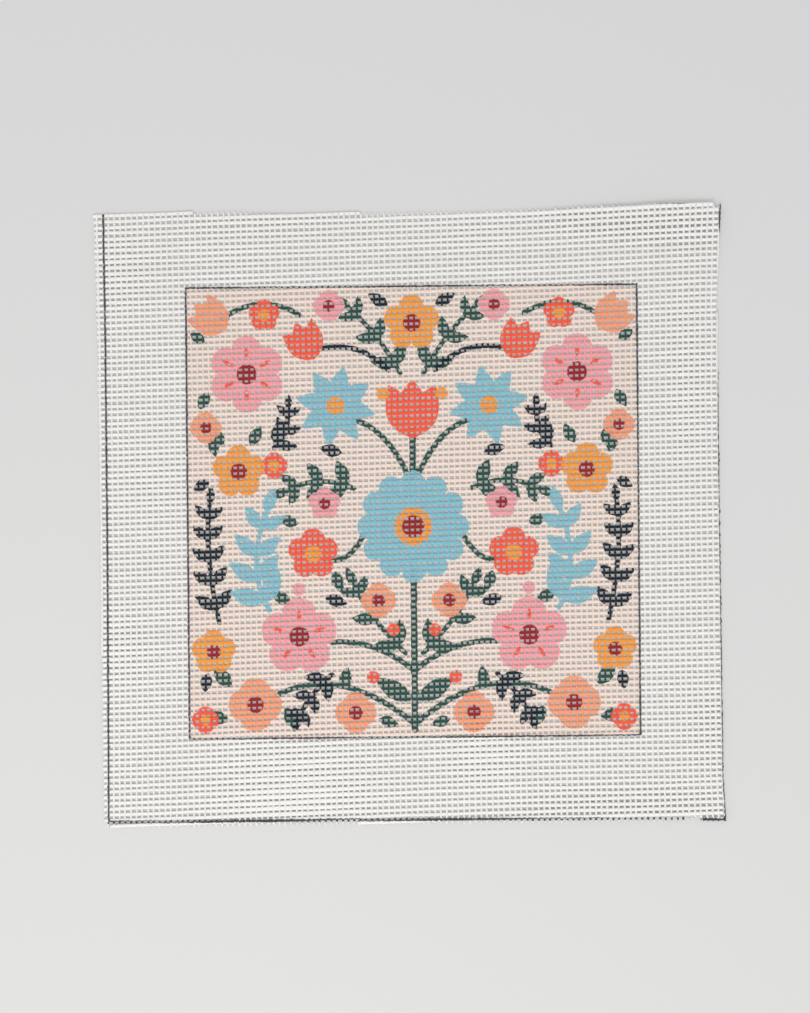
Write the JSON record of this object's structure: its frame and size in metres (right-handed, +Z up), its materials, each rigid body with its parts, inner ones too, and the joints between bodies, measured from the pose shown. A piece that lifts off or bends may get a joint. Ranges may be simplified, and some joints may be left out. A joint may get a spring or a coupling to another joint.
{
  "type": "needlepoint canvas panel",
  "caption": "Square of stiff, open-weave needlepoint canvas lying flat, with a square floral print inside plain white margins and raw cut edges.",
  "frame": {"origin": "middle of the canvas, on the surface it lies on", "axes": "+Z up out of the printed face, +Y towards the top of the print, +X towards its right"},
  "size_m": [0.2128, 0.21, 0.0027],
  "materials": {
    "canvas": "matt sized cotton"
  },
  "bodies": {
    "root": {"canvas": "canvas"}
  },
  "joints": []
}
